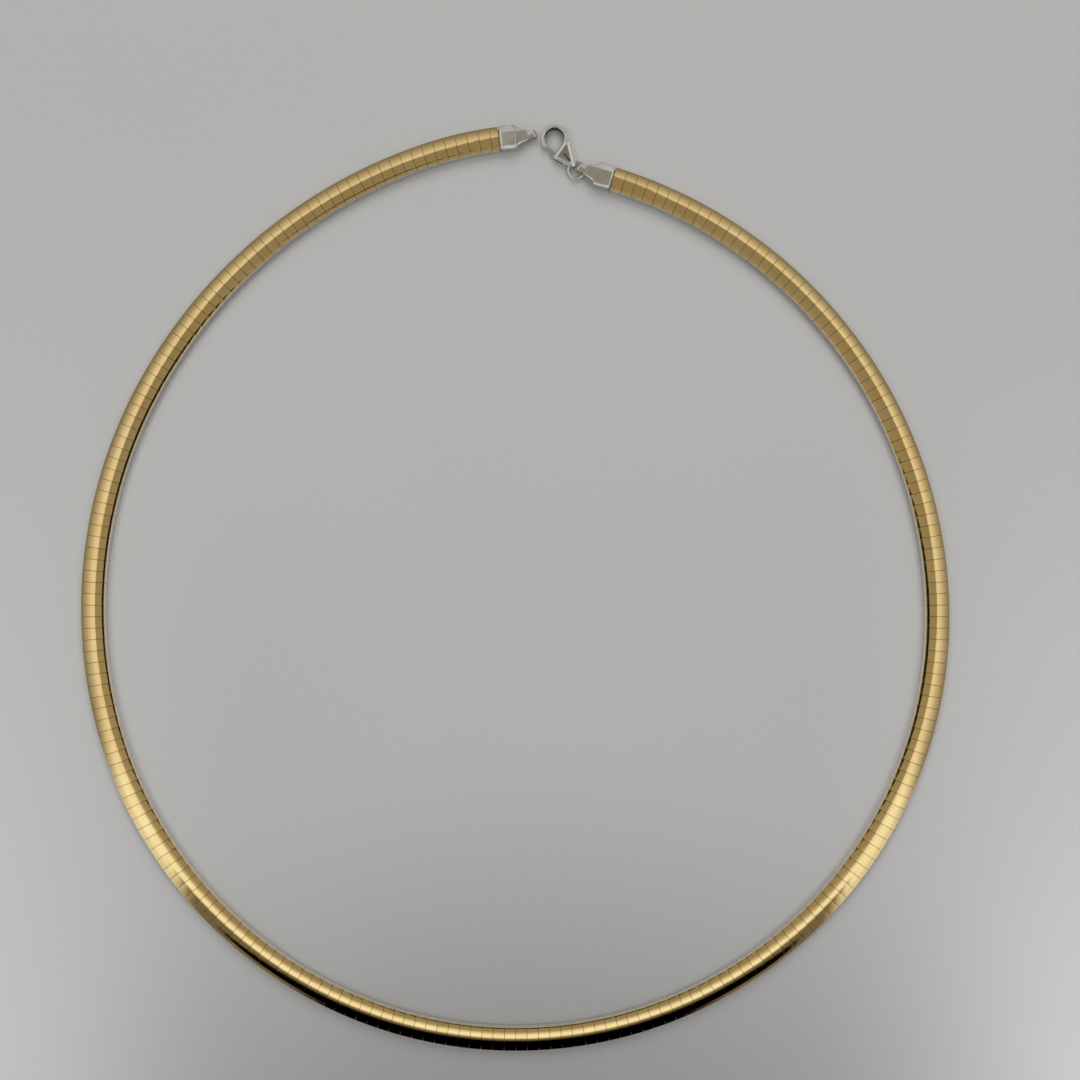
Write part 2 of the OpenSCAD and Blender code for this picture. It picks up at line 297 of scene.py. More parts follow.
def make_mesh(name, points, faces, uv=None, normals=None, tone=None, smooth=SHARP_FROM):
    """Puts a shape in millimetres into a mesh with its faces pointing out. faces, uv and normals are lists with an
    array for each number of corners. Edges sharper than the angle smooth stay sharp where no normals are given."""
    if not outward(points, faces):
        faces = [f[:, ::-1] for f in faces]
        uv = uv and [u[:, ::-1] for u in uv]
        normals = normals and [n[:, ::-1] for n in normals]
    mesh = bpy.data.meshes.new(name)
    corners = np.concatenate([f.ravel() for f in faces])
    counts = np.concatenate([np.full(len(f), f.shape[1]) for f in faces])
    mesh.vertices.add(len(points))
    mesh.vertices.foreach_set("co", (points * MM).ravel())
    mesh.loops.add(len(corners))
    mesh.loops.foreach_set("vertex_index", corners)
    mesh.polygons.add(len(counts))
    mesh.polygons.foreach_set("loop_start", np.cumsum(counts) - counts)
    mesh.update(calc_edges=True)
    if uv:
        layer = mesh.uv_layers.new(name="surface")
        layer.data.foreach_set("uv", np.concatenate([u.reshape(-1, 2) for u in uv]).ravel())
    if tone is not None:
        mesh.attributes.new("tone", "FLOAT", "FACE").data.foreach_set("value", tone)
    mesh.shade_smooth()
    if normals:
        mesh.normals_split_custom_set(np.concatenate([n.reshape(-1, 3) for n in normals]))
    else:
        mesh.set_sharp_from_angle(angle=math.radians(smooth))
    return mesh


def linked(name, data):
    """A new object of the scene with this data."""
    made = bpy.data.objects.new(name, data)
    bpy.context.scene.collection.objects.link(made)
    return made


def clasp_mesh(name, points, faces):
    """Puts a shape in the clasp's own frame into a mesh in the clasp's place."""
    return make_mesh(name, moved(points, hook_centre(), CLASP_TURN), faces)


def square(half, height):
    """A level square's corners."""
    return [[-half, -half, height], [half, -half, height], [half, half, height], [-half, half, height]]


def upright(start, end):
    """The corners of a wall between two places on the table, as high as the ceiling."""
    return [[*start, 0], [*end, 0], [*end, CEILING], [*start, CEILING]]


def dark_oval(at, wide, high, turn):
    """The outline of a dark shape over the table, facing down."""
    oval = at_height(disc((0.0, 0.0), 1.0)[::-1] * (wide, high), DARK_HEIGHT)
    return moved(oval, at, math.radians(turn))


def make_flat(name, corners, material):
    """A flat stage piece with these corners."""
    mesh = bpy.data.meshes.new(name)
    mesh.from_pydata((np.array(corners, float) * MM).tolist(), [], [list(range(len(corners)))])
    mesh.materials.append(material)
    return linked(name, mesh)


def place_piece(name, mesh, body, slot, material, *stands_for):
    """Links the mesh as a piece that rides on a body and stands for its solids."""
    piece = linked(name, mesh)
    mesh.materials.clear()
    mesh.materials.append(material)
    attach(piece, body)
    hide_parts(*stands_for)
    if slot == "white_metal":
        piece.modifiers.new("flat_faces", "WEIGHTED_NORMAL").keep_sharp = True


def combined(operation, mesh, *others):
    """The mesh joined with, or cut by, the others, through exact Booleans that are applied at once."""
    base, *tools = (linked("work", each) for each in (mesh, *others))
    for tool in tools:
        step = base.modifiers.new("step", "BOOLEAN")
        step.operation, step.solver, step.object = operation, "EXACT", tool
    result = bpy.data.meshes.new_from_object(base.evaluated_get(bpy.context.evaluated_depsgraph_get()))
    for thing in [base, *tools]:
        bpy.data.objects.remove(thing)
    for old in [mesh, *others]:
        bpy.data.meshes.remove(old)
    result.shade_smooth()
    result.set_sharp_from_angle(angle=math.radians(SHARP_FROM))
    return result


def mark_painted_shade(mesh, share_of):
    """Stores how much painted shade each face gets, from its middle and its outward direction."""
    at, facing = np.empty((2, len(mesh.polygons), 3))
    mesh.polygons.foreach_get("center", at.reshape(-1))
    mesh.polygons.foreach_get("normal", facing.reshape(-1))
    mesh.attributes.new("painted_shade", "FLOAT", "FACE").data.foreach_set("value", share_of(at / MM, facing))


def sheet_side(inset, shoulder_r, steps):
    """One side of the plates' bent sheet from lip to lip, and its normals: the outside, or an inset inside.

    From the crest down to the fold under it, half of it is three arcs that run into each other. Each point is an
    arc's centre plus its radius at a tilt, and its normal is that tilt. The dome's tilt runs from 0 to where the
    shoulder touches it, the shoulder's to the upright side, the fold's on to straight down."""
    half_w, top, dome_r, shoulder_r, fold_r = (
        size - inset for size in (BAND_W / 2, BAND_H, DOME_R, shoulder_r, FOLD_R))
    meet = np.arcsin((half_w - shoulder_r) / (dome_r - shoulder_r))
    shoulder_z = top - dome_r + (dome_r - shoulder_r) * np.cos(meet)
    dome, shoulder, fold = (np.linspace(0, 1, count) for count in steps)
    arcs = [(0.0, top - dome_r, dome_r, meet * dome),
            (half_w - shoulder_r, shoulder_z, shoulder_r, meet + (math.pi / 2 - meet) * shoulder[1:]),
            (half_w - fold_r, inset + fold_r, fold_r, math.pi / 2 * (1 + fold))]
    normals = [np.stack([np.sin(tilt), np.cos(tilt)], -1) for *_, tilt in arcs]
    points = [(x, z) + r * normal for (x, z, r, _), normal in zip(arcs, normals)]
    halves = np.concatenate([*points, [[SEAM_W / 2, inset]]]), np.concatenate([*normals, [[0.0, -1.0]]])
    return [np.concatenate([half[:0:-1] * (-1, 1), half]) for half in halves]


def plates_shape(gap, crown, roll):
    """All plates as one array: a bent sheet section at three stations, wedge ended, at each plate's middle.

    A point is (along, across, up) with along = station x half length x (1 + across / radius), so two ends that
    meet are parallel. The outside falls by crown x station squared along its normal, and the normals lean with it.
    Each plate then turns a little about the band and about the upright axis, by seeded random angles."""
    outer, outer_n = sheet_side(0.0, PLATE_EDGE_R, (4, 4, 3))
    inner, inner_n = sheet_side(SHEET, SHOULDER_R, (2, 2, 2))
    k, m = len(outer), len(inner)

    station = np.array([-1.0, 0.0, 1.0])
    fall = (crown * station ** 2)[:, None, None] * outer_n
    across = np.concatenate([(outer - fall).reshape(-1, 2), np.tile(inner, (2, 1))])
    ends = np.concatenate([np.repeat(station, k), np.repeat([-1.0, 1.0], m)])

    pitch = BAND_LEN / (PLATES - 1 + FIRST_SHOW)
    runs = np.concatenate([[0.0], (np.arange(PLATES) + FIRST_SHOW) * pitch])
    length = np.diff(runs) - gap
    at, heading, radius = places((runs[:-1] + runs[1:]) / 2)
    along = ends * length[:, None] / 2 * (1 + across[:, 0] / radius[:, None])
    points = np.stack(np.broadcast_arrays(along, across[:, 0], across[:, 1]), -1)

    outer_at = np.arange(3 * k).reshape(3, k)
    inner_at = 3 * k + np.arange(2 * m).reshape(2, m)
    quads = np.concatenate([cells(outer_at.T), cells(inner_at)])
    end_faces = np.stack([np.concatenate([outer_at[0], inner_at[0, ::-1]]),
                          np.concatenate([outer_at[2, ::-1], inner_at[1]])])
    lips = np.array([[*outer_at[::-1, 0], inner_at[0, 0], inner_at[1, 0]],
                     [*outer_at[:, -1], inner_at[1, -1], inner_at[0, -1]]])
    groups = [quads, end_faces, lips]

    lean = np.concatenate([np.repeat(2 * crown * station / (length.mean() / 2), k), np.zeros(2 * m)])
    flat_n = np.concatenate([np.tile(outer_n, (3, 1)), np.tile(-inner_n, (2, 1))])
    vertex_n = np.concatenate([lean[:, None], flat_n], 1)
    vertex_n /= np.linalg.norm(vertex_n, axis=1)[:, None]
    end_n, lip_n = np.zeros((*end_faces.shape, 3)), np.zeros((*lips.shape, 3))
    end_n[0, :, 0], end_n[1, :, 0] = -1, 1
    lip_n[0, :, 1], lip_n[1, :, 1] = 1, -1

    girth = lengths(outer)
    girth += GIRTH_MIDDLE - girth[k // 2]
    girth_in = np.interp(np.linspace(0, 1, m), np.linspace(0, 1, k), girth)
    flat = np.stack([(ends + 1) / 2, np.concatenate([np.tile(girth, 3), np.tile(girth_in, 2)])], -1)

    rng = np.random.default_rng(12)
    tilt = rng.normal(0, roll / 2, (PLATES, 2)).clip(-roll, roll)

    def carried(p, offset):
        """Turns and carries an array with a row for each plate: about the band, about up, then to its place."""
        t, n, z = p[..., 0], p[..., 1], p[..., 2] - offset * BAND_H / 2
        a, b, h, x, y = (v.reshape(-1, *[1] * (t.ndim - 1)) for v in (*tilt.T, heading, *at.T))
        n, z = n * np.cos(a) - z * np.sin(a), n * np.sin(a) + z * np.cos(a)
        t, n = t * np.cos(b) - n * np.sin(b), t * np.sin(b) + n * np.cos(b)
        lift = offset * (BAND_H / 2 + np.abs(a) * BAND_W / 2)
        return np.stack([t * np.cos(h) + n * np.sin(h) + offset * x,
                         t * np.sin(h) - n * np.cos(h) + offset * y, z + lift], -1)

    steps = np.arange(PLATES)[:, None, None] * len(across)
    faces = [(g + steps).reshape(-1, g.shape[1]) for g in groups]
    normals = [carried(np.broadcast_to(n, (PLATES, *n.shape)), 0).reshape(-1, g.shape[1], 3)
               for n, g in zip((vertex_n[quads], end_n, lip_n), groups)]
    uv = [np.tile(flat[g], (PLATES, 1, 1)) for g in groups]
    tones = rng.random(PLATES)
    tone = np.concatenate([np.repeat(tones, len(g)) for g in groups])
    return carried(points, 1).reshape(-1, 3), faces, uv, normals, tone


def core_shape():
    """The woven core: its flat section with corners under the dome, carried along the band in even steps."""
    core_r, base = DOME_R - SHEET - CORE_GAP, SHEET + CORE_GAP
    dome_z = BAND_H - DOME_R
    tilt = np.linspace(math.acos(CORE_W / 2 / core_r), math.asin((base + CORE_T - dome_z) / core_r), 4)
    right = core_r * rays(tilt) + (0, dome_z)
    section = np.concatenate([[[-CORE_W / 2, base], [CORE_W / 2, base]], right, right[::-1] * (-1, 1)])
    run = np.linspace(-CORE_TAIL, BAND_LEN + CORE_TAIL, 260)
    at, heading, _ = places(run)
    points, faces = loft(swept(at, aside(heading), section[:, 0], section[:, 1]))
    girth = lengths(np.concatenate([section, section[:1]]))
    quad_uv = cells(np.stack(np.meshgrid(run, girth, indexing="ij"), -1))
    return points, faces, [quad_uv, np.stack([section[::-1], section])]


def cap_section(wide, top, base, steps, roundness=1.0):
    """A cap's section at each station: a level top, a facet leaning out on one side and a steeper one on the other.

    The facets get narrower where the cap does. Each corner is moved in along the line that halves it, then grown
    into an arc: an inner point plus the corner's radius at the angles between its two edges' outward directions."""
    gone = BAND_W / 2 - wide
    outer_w = np.maximum(OUTER_FACET[0] - gone, 0.1)
    inner_w = np.maximum(INNER_FACET[0] - 0.5 * gone, 0.15)
    inner_w = np.minimum(inner_w, 0.5 * (top - base) / math.tan(INNER_FACET[1]))
    outer_low, inner_low = top - outer_w * math.tan(OUTER_FACET[1]), top - inner_w * math.tan(INNER_FACET[1])
    corners = np.stack([np.stack(pair, -1) for pair in (
        (wide, base), (wide, outer_low), (wide - outer_w, top), (inner_w - wide, top), (-wide, inner_low),
        (-wide, base))], 1)
    before, swing = corner_turns(corners)
    radius = np.minimum(CAP_ROUNDS * roundness, 0.3 * (top - base)[:, None])
    inner = corners - (radius / np.cos(swing / 2))[..., None] * rays(before + swing / 2)
    angle = before[..., None] + swing[..., None] * np.linspace(0, 1, steps)
    arcs = inner[:, :, None] + radius[..., None, None] * rays(angle)
    return arcs.reshape(len(wide), -1, 2)


def cap_shell(steps, crest):
    """A cap from its cup's floor out over its rim and along its neck, a loop for each station.

    The neck's half width follows an arc. The crest falls as crest says, two rows of places and falls, and the
    line where it starts to fall bows towards the tongue in the middle."""
    x = np.concatenate([[CAP_FACE, 0.19, 0.24, 0.6, 1.1, 1.7, 2.2], np.linspace(2.4, LOOP_START, 47)])
    half_band = BAND_W / 2
    arc = np.clip((NECK_END - x) / NECK_LEN, 0, 1)
    necked = TONGUE_ROOT + NECK_LEN * (1 - np.sqrt(1 - arc ** 2))
    narrower = np.interp(x, [NECK_END, LOOP_START], [0.0, TONGUE_END - TONGUE_ROOT])
    wide = np.minimum(necked, half_band) + narrower
    top = BAND_H - np.interp(x, *crest)
    base = NECK_LIFT * eased(x, *NECK_RISE)
    bevel = np.interp(x, [CAP_FACE, 0.19, 0.24], [0.04, 0.01, 0.0])
    outer = cap_section(wide - bevel, top - bevel, base + bevel, steps)
    cup_x = np.array([CUP_LEN, CUP_LEN - 0.05, 1.0, 0.25, CAP_FACE + 0.02])
    wall = CAP_SHEET + np.array([0.05, 0, 0, 0, -0.05])
    cup = cap_section(half_band - wall, BAND_H - wall, wall, steps, 0.6)
    loop = np.concatenate([cup, outer])
    lead = np.concatenate([np.zeros(len(cup_x)), eased(x, 2.3, 2.8) * (1 - eased(x, 3.2, 4.0))])
    along = np.concatenate([cup_x, x])[:, None] - CREST_BOW * lead[:, None] * (loop[..., 0] / half_band) ** 2
    return np.stack([along, loop[..., 0], loop[..., 1]], -1)


def rounded_box_section(half_a, half_b, radius, steps=4):
    """A rectangle with round corners: each corner's centre plus the radius at angles over its quarter."""
    angle = np.linspace(0, math.pi / 2, steps)
    return np.concatenate([
        (a * (half_a - radius), b * (half_b - radius)) + radius * rays(angle + quarter * math.pi / 2)
        for quarter, (a, b) in enumerate(((1, 1), (-1, 1), (-1, -1), (1, -1)))])


def rolled_eye(turn):
    """The tongue's end rolled into a flat eye: a strip's section carried round a stadium in the upright plane."""
    over = rays(math.pi / 2 - np.linspace(0, math.pi, 18))[:-1]
    straight = np.linspace(0, LOOP_LEN, 5)[:-1, None]
    out = np.concatenate([np.tile([0.0, 1.0], (4, 1)), over, np.tile([0.0, -1.0], (4, 1)), -over])
    middle = np.concatenate([straight, np.full((17, 1), LOOP_LEN), LOOP_LEN - straight, np.zeros((17, 1))])
    line = LOOP_MID * out + middle * (1, 0)
    section = rounded_box_section(TONGUE_END, CAP_SHEET / 2, 0.06)
    x, z = (line[:, i, None] + section[:, 1] * out[:, i, None] for i in (0, 1))
    points, faces = loft(np.stack(np.broadcast_arrays(x, section[:, 0], z + LOOP_Z), -1), closed=True)
    return turned(points, math.radians(turn)) + (LOOP_START, 0, 0), faces


def ring_shape():
    """The jump ring: a circle of wire carried round a larger circle, at the height of the eyes' middles."""
    wire = disc((RING_R, LOOP_Z), RING_WIRE / 2, 28)
    turn = np.arange(96) * math.tau / 96
    return loft(swept(ring_centre()[None, :2], rays(turn), wire[:, 0], wire[:, 1]), closed=True)


def grown_loop(corners, radius, height, steps=10):
    """A convex outline grown by a radius: each corner plus the radius over the angles between its two edges."""
    c = np.array(corners, float)
    if np.cross(c[1] - c[0], c[2] - c[1]) < 0:
        c = c[::-1]
    before, swing = corner_turns(c)
    angle = before[:, None] + swing[:, None] * np.linspace(0, 1, steps)
    return at_height((c[:, None] + radius * rays(angle)).reshape(-1, 2), height)


def body_block():
    """The clasp's body: loops of its outline, rounded below and above, then over a rim down to a sunk face."""
    low_r, brow = BODY_ROUNDS
    loops = [grown_loop(BODY_CORNERS, BODY_EDGE - low_r + low_r * math.sin(a), low_r * (1 - math.cos(a)))
             for a in np.linspace(0, math.pi / 2, 6)]
    for t in np.linspace(0, 1, 15):
        corners = (1 - t) * np.array(BODY_CORNERS) + t * np.array(WELL_CORNERS)
        rise = brow * math.sin(math.pi * t) if t < 0.5 else brow - WELL_DEPTH * (1 - math.sin(math.pi * t))
        loops.append(grown_loop(corners, BODY_EDGE + (WELL_EDGE - BODY_EDGE) * t, CLASP_T - brow + rise))
    loops.append(grown_loop(WELL_CORNERS, 0.02, CLASP_T - WELL_DEPTH - 0.005))
    return loft(np.stack(loops))


def hook_sweep():
    """The hook: a tall section with round corners carried round its opening, drawn in to a point at its tip."""
    mid_r = HOOK_R + HOOK_W / 2
    section = rounded_box_section(HOOK_W / 2, CLASP_T / 2 - HOOK_LIFT, HOOK_ROUND, 8)
    turn = np.radians(np.linspace(HOOK_ROOT, HOOK_TIP, 72))
    tip = np.linspace(0, math.pi / 2, 9)[1:]
    turn = np.concatenate([turn, turn[-1] + np.sin(tip) * (HOOK_W / 2) / mid_r])
    size = np.concatenate([np.ones(72), np.cos(tip).clip(0.03, 1)])[:, None]
    up = CLASP_T / 2 + section[:, 1] * (0.25 + 0.75 * size)
    return loft(swept(np.zeros((1, 2)), rays(turn), mid_r + section[:, 0] * size, up))


def slit_lane():
    """The slit's outline on the sunk face: a narrow lane that starts at the pin's middle."""
    lane = np.array([[0, -1], [SLIT[0], -1], [SLIT[0], 1], [0, 1]]) * [1, SLIT[1] / 2]
    return turned(at_height(lane, 0.0), math.radians(SLIT_TURN))[:, :2] + PIN_AT


def pin_hole():
    """What the pin's hole cuts from the clasp's body and its lever."""
    return prism(disc(PIN_AT, PIN_D / 2 + 0.02), -0.2, CLASP_T + 0.2)


def body_cuts():
    """What is cut from the clasp's body: the lever's slot, the pin's hole, the slit and the bail's round hole."""
    slot = (LEVER_T + 0.08) / 2
    tunnel = [at_height(disc((BAIL_X, LOOP_Z), BAIL_R), y)[:, [0, 2, 1]] for y in (-2.0, 2.0)]
    return [prism(SLOT_CORNERS, CLASP_T / 2 - slot, CLASP_T / 2 + slot), pin_hole(),
            prism(slit_lane(), CLASP_T - SLIT_DEPTH, CLASP_T + 0.2), loft(np.stack(tunnel))]


def body_painted_shade(at, facing):
    """Painted shade on the clasp's body, in its own frame: full in the slit and the pin's hole, some on the sunk
    face, most of it on the hook's inner wall."""
    down, off_line, _ = turned(at - [*PIN_AT, 0.0], -math.radians(SLIT_TURN)).T
    in_slit = (down > -0.05) & (down < SLIT[0] + 0.05) & (np.abs(off_line) < SLIT[1] / 2 + 0.01)
    in_hole = np.linalg.norm(at[:, :2] - PIN_AT, axis=1) < PIN_D / 2 + 0.05
    low = at[:, 2] < CLASP_T - WELL_DEPTH - 0.012
    sunk = (np.abs(at[:, 2] - CLASP_T + WELL_DEPTH) < 0.01) & (facing[:, 2] > 0.9)
    reach = np.linalg.norm(at[:, :2], axis=1)
    inward = -(at[:, :2] * facing[:, :2]).sum(1) / reach
    wall = (reach < HOOK_R + 0.2) * np.clip((inward - 0.5) / 0.3, 0, 1) * WALL_PAINTED_SHADE
    return np.maximum(wall, np.where((in_slit | in_hole) & low, 1.0, np.where(sunk, SUNK_PAINTED_SHADE, 0.0)))


def ring_painted_shade(at, facing):
    """Painted shade on the jump ring: its wire darkens towards the inside of the ring."""
    inward = -((at - ring_centre())[:, :2] * facing[:, :2]).sum(1) / RING_R
    return WALL_PAINTED_SHADE * np.clip((inward - 0.6) / 0.25, 0, 1)


def lever_sweep():
    """The lever: a rounded section carried from its eye round the elbow and along the gate to the nose.

    Its line is three straight runs, smoothed and cut into even steps. The section's round edges are a fixed share
    of its half width, and its top has a faint ridge along the middle."""
    knots = np.array(LEVER_LINE)
    soft = np.concatenate([start + (end - start) * np.linspace(low, high, count)[:, None]
                           for start, end, (low, high, count) in zip(knots, knots[1:], LEVER_SPANS)])
    kernel = np.array([1, 2, 3, 2, 1.0]) / 9
    padded = np.concatenate([np.repeat(soft[:1], 2, 0), soft, np.repeat(soft[-1:], 2, 0)])
    line = np.stack([np.convolve(padded[:, i], kernel, "valid") for i in (0, 1)], -1)
    line[0], line[-1] = soft[0], soft[-1]
    run = lengths(line)
    even = np.linspace(0, run[-1], 60)
    line = np.stack([np.interp(even, run, line[:, i]) for i in (0, 1)], -1)
    along = np.gradient(line, axis=0)
    along /= np.linalg.norm(along, axis=1)[:, None]
    side = np.stack([along[:, 1], -along[:, 0]], -1)
    half = np.interp(even / even[-1], *LEVER_WIDTHS)[:, None]
    section = rounded_box_section(1.0, LEVER_T / 2, LEVER_ROUND, 5)
    bulge = np.sign(section[:, 0]) * (np.abs(section[:, 0]) - (1 - LEVER_ROUND)) / LEVER_ROUND
    edge = LEVER_ROUND / max(LEVER_WIDTHS[1])
    reach = np.sign(bulge) * half * (1 - edge + edge * np.abs(bulge))
    return loft(swept(line, side, reach, CLASP_T / 2 + section[:, 1]))


def pin_lathe():
    """The pin: a profile of radius against height, domed at both ends, turned round its axis."""
    low, high = PIN_INSET, CLASP_T - WELL_DEPTH - PIN_INSET
    dome = np.sin(np.linspace(0.12, math.pi / 2, 5))
    radius = PIN_D / 2 * np.concatenate([dome, dome[::-1]])
    height = np.concatenate([low + PIN_DOME * (1 - dome), high - PIN_DOME * (1 - dome[::-1])])
    return loft(np.stack([at_height(disc(PIN_AT, r, 32), z) for r, z in zip(radius, height)]))


# Materials

def math_method(operation, swapped=False):
    """A method that makes this math node from its Value and another Value or number."""
    def method(self, other):
        return self.finish.math(operation, *((other, self) if swapped else (self, other)))
    return method


class Value:
    """A node's output that takes + - * / and abs, each as a math node."""
    __add__, __sub__, __mul__, __truediv__ = map(math_method, ("ADD", "SUBTRACT", "MULTIPLY", "DIVIDE"))
    __rsub__, __rtruediv__ = math_method("SUBTRACT", True), math_method("DIVIDE", True)

    def __init__(self, finish, socket):
        self.finish, self.socket = finish, socket

    def __abs__(self):
        return self.finish.math("ABSOLUTE", self)


class Finish:
    """A material's nodes, written as short calls that return Values."""

    def __init__(self, name, metallic=0.0):
        self.material = bpy.data.materials.new(name)
        self.material.use_nodes = True
        self.tree = self.material.node_tree
        self.shader = self.tree.nodes["Principled BSDF"]
        self.link(metallic, "Metallic")

    def feed(self, socket, value):
        """Links a Value to the socket, or sets the socket to a number, vector or colour."""
        if isinstance(value, Value):
            self.tree.links.new(value.socket, socket)
        else:
            socket.default_value = value

    def link(self, value, socket):
        self.feed(self.shader.inputs[socket], value)

    def node(self, kind, fed=None, pick=0, **settings):
        """Adds a node with its settings and fed sockets, and returns the picked output."""
        made = self.tree.nodes.new(kind)
        for key, setting in settings.items():
            setattr(made, key, setting)
        for socket, value in (fed or {}).items():
            self.feed(made.inputs[socket], value)
        return Value(self, made.outputs[pick])

    def math(self, operation, a, b=0.0, clamp=False):
        return self.node("ShaderNodeMath", {0: a, 1: b}, operation=operation, use_clamp=clamp)

    def length(self, x, y):
        return self.math("SQRT", x * x + y * y)

    def fit(self, value, low, high, to_low=0.0, to_high=1.0, smooth=True):
        return self.node("ShaderNodeMapRange", {0: value, 1: low, 2: high, 3: to_low, 4: to_high},
                         interpolation_type="SMOOTHSTEP" if smooth else "LINEAR")

    def mix(self, share, a, b):
        """A colour between a and b, each a Value or three numbers."""
        a, b = (c if isinstance(c, Value) else (*c, 1.0) for c in (a, b))
        return self.node("ShaderNodeMix", {0: share, 6: a, 7: b}, 2, data_type="RGBA")

    def lerp(self, share, a, b):
        return self.node("ShaderNodeMix", {0: share, 2: a, 3: b}, data_type="FLOAT")

    def noise(self, where, scale, detail=2.0):
        return self.node("ShaderNodeTexNoise", {"Vector": where, "Scale": scale, "Detail": detail}, "Fac")

    def stretched(self, where, scale):
        return self.node("ShaderNodeMapping", {"Vector": where, "Scale": scale})

    def axes(self, vector):
        """The vector's three numbers."""
        split = self.node("ShaderNodeSeparateXYZ", {0: vector}).socket.node
        return [Value(self, output) for output in split.outputs]

    def place(self):
        return self.node("ShaderNodeTexCoord", pick="Object")

    def place_mm(self):
        return self.axes(self.stretched(self.place(), (1 / MM,) * 3))

    def surface(self):
        """The piece's own surface lengths: along the band, then round its section."""
        return self.axes(self.node("ShaderNodeUVMap", uv_map="surface"))[:2]

    def stored(self, name):
        return self.node("ShaderNodeAttribute", pick="Fac", attribute_name=name, attribute_type="GEOMETRY")

    def bump(self, height, strength, depth):
        return self.node("ShaderNodeBump", {"Height": height, "Strength": strength, "Distance": depth})


def tinted(colour, shares):
    """The colour with a share of each of its three numbers."""
    return tuple(c * s for c, s in zip(colour, shares))


def gold_finish(colour):
    """Mirror gold with a faint brushed grain, dull wear and dark faces at the joints, a tone of its own on each
    plate, a painted highlight that makes the upright sides pale, and a painted contact shadow on the fold under them."""
    f = Finish("polished_gold", 1.0)
    along, round_section = f.surface()
    to_end = f.math("PINGPONG", along, 0.5)
    joint = f.fit(to_end, 0.0, 0.04, 1.0, 0.0)
    where = f.place()
    cloud, grain = f.noise(where, 160.0, 3.0), f.noise(where, 5200.0)
    deeper = f.math("ADD", f.stored("tone") * 0.6, cloud * 0.5, True)
    base = f.mix(deeper, colour, tinted(colour, (0.93, 0.89, 0.80)))
    base = f.mix(joint * 0.6, base, (0.26, 0.15, 0.05))
    base = f.mix(f.fit(to_end, 0.0, 0.004, 1.0, 0.0), base, (0.03, 0.018, 0.006))
    girth = abs(round_section - GIRTH_MIDDLE)
    # Painted highlight: a paler colour on the upright sides brightens what they mirror.
    base = f.mix(f.fit(girth, *SIDE_GIRTH), base, (0.97, 0.90, 0.76))
    # Painted contact shadow: the fold under the upright sides darkens towards near black.
    base = f.mix(f.fit(girth, *FOLD_GIRTH, 0.0, 0.6), base, (0.05, 0.035, 0.02))
    f.link(base, "Base Color")
    f.link(f.fit(grain, 0.35, 0.75, 0.07, 0.11) + joint * 0.03, "Roughness")
    f.link(f.bump(grain, 0.25, 0.0000015), "Normal")
    return f.material


def weave_finish(colour):
    """Fine wire mesh: two crossed slanting waves on the surface's own lengths make the wires' ridges."""
    f = Finish("woven_core", 1.0)
    along, across = f.surface()
    ridge = f.math("MAXIMUM", *(f.math("PINGPONG", slant, WIRE_STEP) for slant in (along + across, along - across)))
    f.link(f.mix(f.fit(ridge, 0.05, 0.2), tinted(colour, (0.3, 0.3, 0.3)), colour), "Base Color")
    f.link(f.fit(f.noise(f.place(), 900.0), 0.3, 0.7, 0.28, 0.42), "Roughness")
    f.link(f.bump(ridge, 0.8, 0.00012), "Normal")
    return f.material


def white_finish(colour, name="white_metal", dull=0.13):
    """White metal with soft wear: cloudy tone, hairline scratches, an uneven polish and painted shade in hollows."""
    f = Finish(name, 1.0)
    where = f.place()
    cloud = f.noise(where, 420.0, 3.0)
    scratch = f.noise(f.stretched(where, (1.0, 0.08, 1.0)), 5200.0)
    clean = f.mix(f.fit(cloud, 0.35, 0.7), colour, tinted(colour, (0.97, 0.94, 0.86)))
    # The stored share darkens the colour towards near black: painted shade in hollows and on inner walls.
    f.link(f.mix(f.stored("painted_shade"), clean, (0.03, 0.028, 0.025)), "Base Color")
    f.link(f.fit(cloud, 0.3, 0.7, dull, dull + 0.07) + f.fit(scratch, 0.5, 0.75, 0.0, 0.07), "Roughness")
    f.link(f.bump(f.noise(where, 950.0) + scratch * 0.15, 0.07 / dull, 0.00001), "Normal")
    return f.material


def cast_finish(colour):
    """The clasp's and the ring's white metal, a little duller than the caps'."""
    return white_finish(colour, "white_cast", 0.15)


def table_finish(colour):
    """A pale matt table top with faint mottling, and painted light and shade: a soft painted oval shadow over the
    front's middle, painted light at the sides and at the right front corner, painted dimming at the back. Lengths are
    in millimetres."""
    f = Finish("table_top")
    f.link(0.15, "Specular IOR Level")
    x, y, _ = f.place_mm()
    # Painted shadow: a soft dark oval over the front's middle.
    painted_shadow = f.fit(f.length((x - 4.0) / 72.0, (y + 100.0) / 60.0), 0.25, 1.3, 0.31, 0.0)
    # Painted light: brighter towards both sides and towards the right front corner.
    side = f.fit(abs(x - 2.0), 42.0, 98.0) * f.fit(y, 60.0, -95.0, 0.0, 0.42)
    corner = f.fit(x, 60.0, 100.0) * f.fit(y, -20.0, -90.0, 0.0, 0.16)
    # Painted dimming towards the back.
    painted_dimming = f.fit(y, 20.0, 100.0, 0.0, 0.07)
    where = f.place()
    cloud, fine = f.noise(where, 9.0, 3.0), f.noise(where, 900.0)
    faint = f.fit(cloud, 0.3, 0.7, -0.012, 0.012) + f.fit(fine, 0.3, 0.7, -0.006, 0.006)
    level = (1.02 - painted_shadow) + side + (corner - painted_dimming) + faint
    f.link(f.mix(level / TABLE_MOST, (0.0, 0.0, 0.0), tinted(colour, (TABLE_MOST,) * 3)), "Base Color")
    f.link(f.fit(fine, 0.3, 0.7, 0.6, 0.7), "Roughness")
    return f.material


